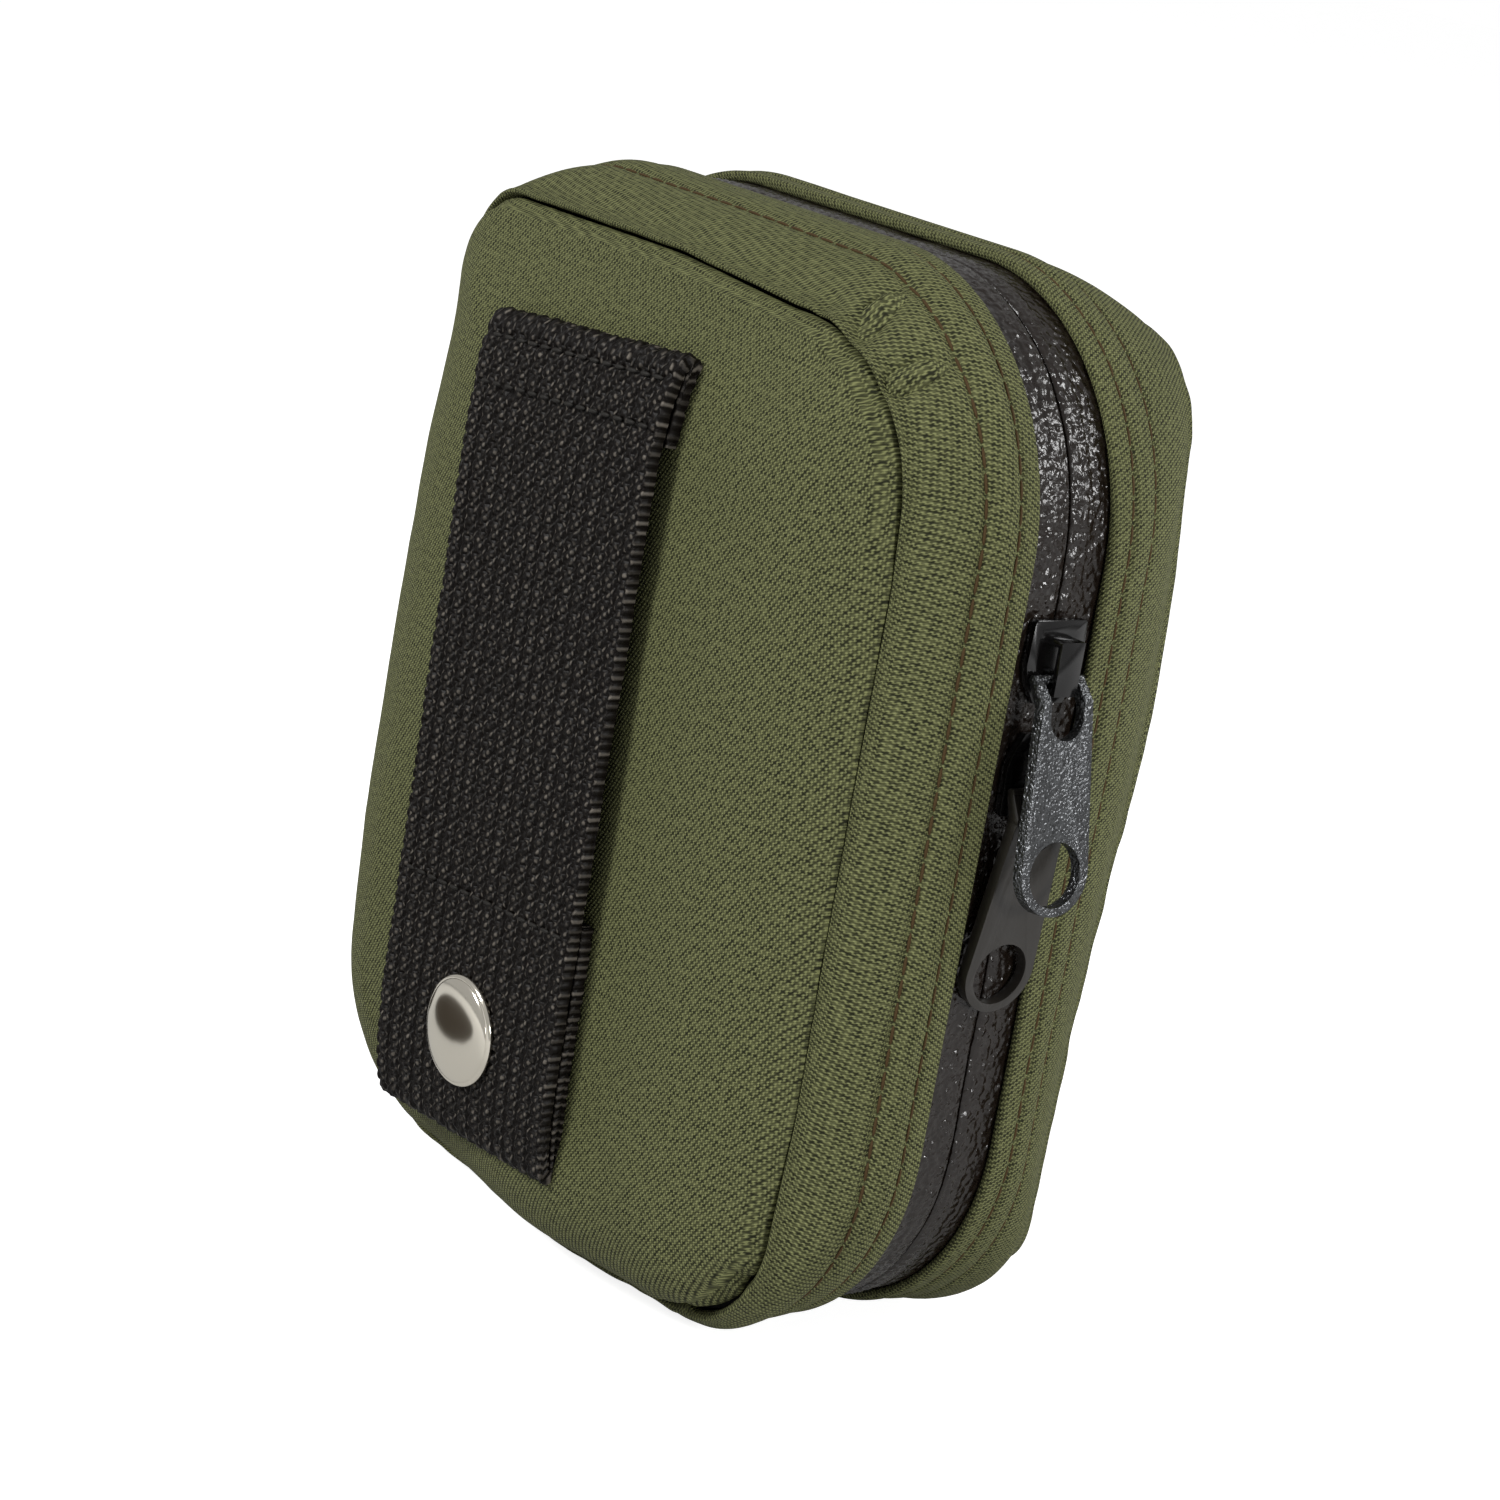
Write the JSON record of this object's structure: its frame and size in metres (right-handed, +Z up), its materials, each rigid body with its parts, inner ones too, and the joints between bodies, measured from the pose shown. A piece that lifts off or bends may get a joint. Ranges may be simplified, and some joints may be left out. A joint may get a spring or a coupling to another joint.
{
  "type": "first aid kit",
  "caption": "Soft zip-round pouch that opens like a book on its spine, with a press-stud belt loop, two zip sliders and packed dressings.",
  "frame": {"origin": "middle of the whole case's footprint, on the surface that its bottom stands on", "axes": "+Z up the case, +X from the zip side towards the spine, +Y towards the back panel with the belt loop"},
  "size_m": [0.1197, 0.0691, 0.141],
  "materials": {
    "olive_fabric": "plain woven nylon with a polyurethane coated back",
    "lining": "plain woven polyester lining",
    "webbing": "ribbed nylon webbing",
    "elastic": "knitted elastic",
    "zip_tape": "zip tape with a grained waterproof film",
    "zip_coil": "nylon coil",
    "slider_enamel": "gloss black enamel on zinc",
    "nickel": "nickel plated",
    "steel": "satin stainless steel",
    "gauze": "cotton gauze",
    "packet_white": "coated paper sachet",
    "packet_green": "printed plain paper sachet",
    "foil": "folded metallised film in a clear bag",
    "mesh": "polyester net",
    "patch": "embroidered thread"
  },
  "bodies": {
    "back_half": {"back_panel": "olive_fabric", "back_gusset": "olive_fabric", "back_gusset_hem": "olive_fabric", "back_seam_binding": "elastic", "back_lining": "lining", "back_zip_tape": "zip_tape", "back_zip_coil": "zip_coil", "back_spine_leaf": "olive_fabric", "strap_anchor": "webbing", "snap_stud": "nickel", "snap_rivet_head": "nickel", "organiser_panel": "lining", "organiser_elastics": "elastic", "roll_elastics": "elastic", "gauze_roll_wide": "gauze", "gauze_roll_narrow": "gauze", "dressing_packet": "packet_white", "tweezers": "steel", "scissors_fixed_blade": "steel", "scissors_rivet": "nickel"},
    "scissors_blade": {"scissors_moving_blade": "steel"},
    "front_half": {"front_panel": "olive_fabric", "front_gusset": "olive_fabric", "front_gusset_hem": "olive_fabric", "front_seam_binding": "elastic", "front_lining": "lining", "front_zip_tape": "zip_tape", "front_zip_coil": "zip_coil", "front_spine_leaf": "olive_fabric", "cross_patch": "patch", "mesh_pocket": "mesh", "mesh_pocket_binding": "elastic", "compress_packets": "packet_green", "rescue_blanket": "foil", "triangular_bandage": "packet_white", "plaster_strips": "packet_white", "wipe_sachets": "packet_green"},
    "belt_loop": {"belt_strap": "webbing", "strap_hem": "webbing", "snap_socket": "nickel", "snap_cap": "nickel"},
    "upper_slider_body": {"upper_slider": "slider_enamel"},
    "upper_pull_body": {"upper_pull": "slider_enamel"},
    "lower_slider_body": {"lower_slider": "slider_enamel"},
    "lower_pull_body": {"lower_pull": "slider_enamel"}
  },
  "joints": [
    {"name": "lid_hinge", "type": "hinge", "parent": "back_half", "child": "front_half", "pos_m": [0.06005, -0.00185, 0.0705], "axis": [0, 0, 1], "range_deg": [0, 175]},
    {"name": "upper_slider_travel", "type": "slide", "parent": "back_half", "child": "upper_slider_body", "axis": [0, 0, 1], "range_m": [0, 0.0045]},
    {"name": "lower_slider_travel", "type": "slide", "parent": "back_half", "child": "lower_slider_body", "axis": [0, 0, 1], "range_m": [-0.045, 0]},
    {"name": "upper_pull_swing", "type": "hinge", "parent": "upper_slider_body", "child": "upper_pull_body", "pos_m": [-0.05305, -0.00185, 0.095], "axis": [0, 1, 0], "range_deg": [0, 140]},
    {"name": "lower_pull_swing", "type": "hinge", "parent": "lower_slider_body", "child": "lower_pull_body", "pos_m": [-0.05305, -0.00185, 0.0807], "axis": [0, 1, 0], "range_deg": [0, 140]},
    {"name": "belt_loop_swing", "type": "hinge", "parent": "back_half", "child": "belt_loop", "pos_m": [0.00935, 0.03203, 0.1115], "axis": [1, 0, 0], "range_deg": [0, 150]},
    {"name": "scissors_pivot", "type": "hinge", "parent": "back_half", "child": "scissors_blade", "pos_m": [0.01185, 0.0085, 0.07], "axis": [0, -1, 0], "range_deg": [0, 25]}
  ],
  "couplings": [
    {"joint": "lower_pull_swing", "follows": "upper_pull_swing", "ratio": 1}
  ]
}
